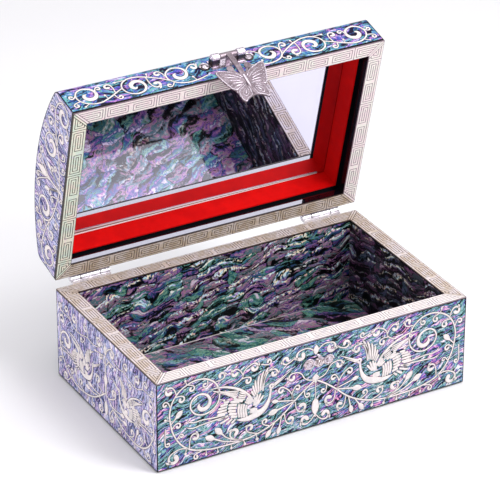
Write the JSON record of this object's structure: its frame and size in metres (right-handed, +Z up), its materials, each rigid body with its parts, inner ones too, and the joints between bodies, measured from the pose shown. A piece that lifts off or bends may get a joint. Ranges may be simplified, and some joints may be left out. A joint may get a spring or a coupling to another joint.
{
  "type": "jewelry box",
  "caption": "Black lacquered jewelry box with a domed hinged lid, shell-covered faces, white fret rims, a mirror set into the lid and a butterfly hasp.",
  "frame": {"origin": "centre of the flat underside of the box", "axes": "+Z up, the front with the catch faces -Y, +X to the right seen from the front; the lid is open at rest"},
  "size_m": [0.2, 0.1494, 0.1904],
  "materials": {
    "black_lacquer": "high gloss black lacquer",
    "outer_shell": "polished iridescent shell under clear lacquer",
    "inner_shell": "polished iridescent shell, darker and greener",
    "white_shell": "polished white shell with an engraved fret",
    "red_lining": "smooth bright red",
    "felt": "matt felt",
    "mirror": "clear mirror",
    "card": "plain",
    "hinge_metal": "nickel plated",
    "latch_metal": "silvery, engraved"
  },
  "bodies": {
    "base": {"base_back_board": "black_lacquer", "base_back_inner_shell": "inner_shell", "base_back_rim": "white_shell", "base_back_shell": "outer_shell", "base_bottom_board": "black_lacquer", "base_felt": "felt", "base_floor_shell": "inner_shell", "base_front_board": "black_lacquer", "base_front_inner_shell": "inner_shell", "base_front_rim": "white_shell", "base_front_shell": "outer_shell", "base_hinge_nails": "hinge_metal", "base_left_board": "black_lacquer", "base_left_inner_shell": "inner_shell", "base_left_rim": "white_shell", "base_left_shell": "outer_shell", "base_right_board": "black_lacquer", "base_right_inner_shell": "inner_shell", "base_right_rim": "white_shell", "base_right_shell": "outer_shell", "catch_nails": "latch_metal", "catch_plate": "latch_metal", "catch_stud": "latch_metal", "left_hinge_lower_leaf": "hinge_metal", "left_hinge_pin": "hinge_metal", "right_hinge_lower_leaf": "hinge_metal", "right_hinge_pin": "hinge_metal"},
    "lid": {"latch_nails": "latch_metal", "latch_pin": "latch_metal", "latch_plate": "latch_metal", "left_hinge_upper_leaf": "hinge_metal", "lid_back_board": "black_lacquer", "lid_back_lining": "red_lining", "lid_back_rim": "white_shell", "lid_back_shell": "outer_shell", "lid_crown_board": "black_lacquer", "lid_crown_shell": "outer_shell", "lid_front_board": "black_lacquer", "lid_front_lining": "red_lining", "lid_front_rim": "white_shell", "lid_front_shell": "outer_shell", "lid_hinge_nails": "hinge_metal", "lid_left_board": "black_lacquer", "lid_left_lining": "red_lining", "lid_left_rim": "white_shell", "lid_left_shell": "outer_shell", "lid_right_board": "black_lacquer", "lid_right_lining": "red_lining", "lid_right_rim": "white_shell", "lid_right_shell": "outer_shell", "mirror_backing_card": "card", "mirror_glass": "mirror", "right_hinge_upper_leaf": "hinge_metal"},
    "hasp": {"butterfly_hasp": "latch_metal"}
  },
  "joints": [
    {"name": "lid_hinge", "type": "hinge", "parent": "base", "child": "lid", "pos_m": [0, 0.0642, 0.0588], "axis": [1, 0, 0], "range_deg": [0, 76]},
    {"name": "hasp_swing", "type": "hinge", "parent": "lid", "child": "hasp", "pos_m": [0.0025, 0.04371, 0.18808], "axis": [-1, 0, 0], "range_deg": [0, 150]}
  ]
}
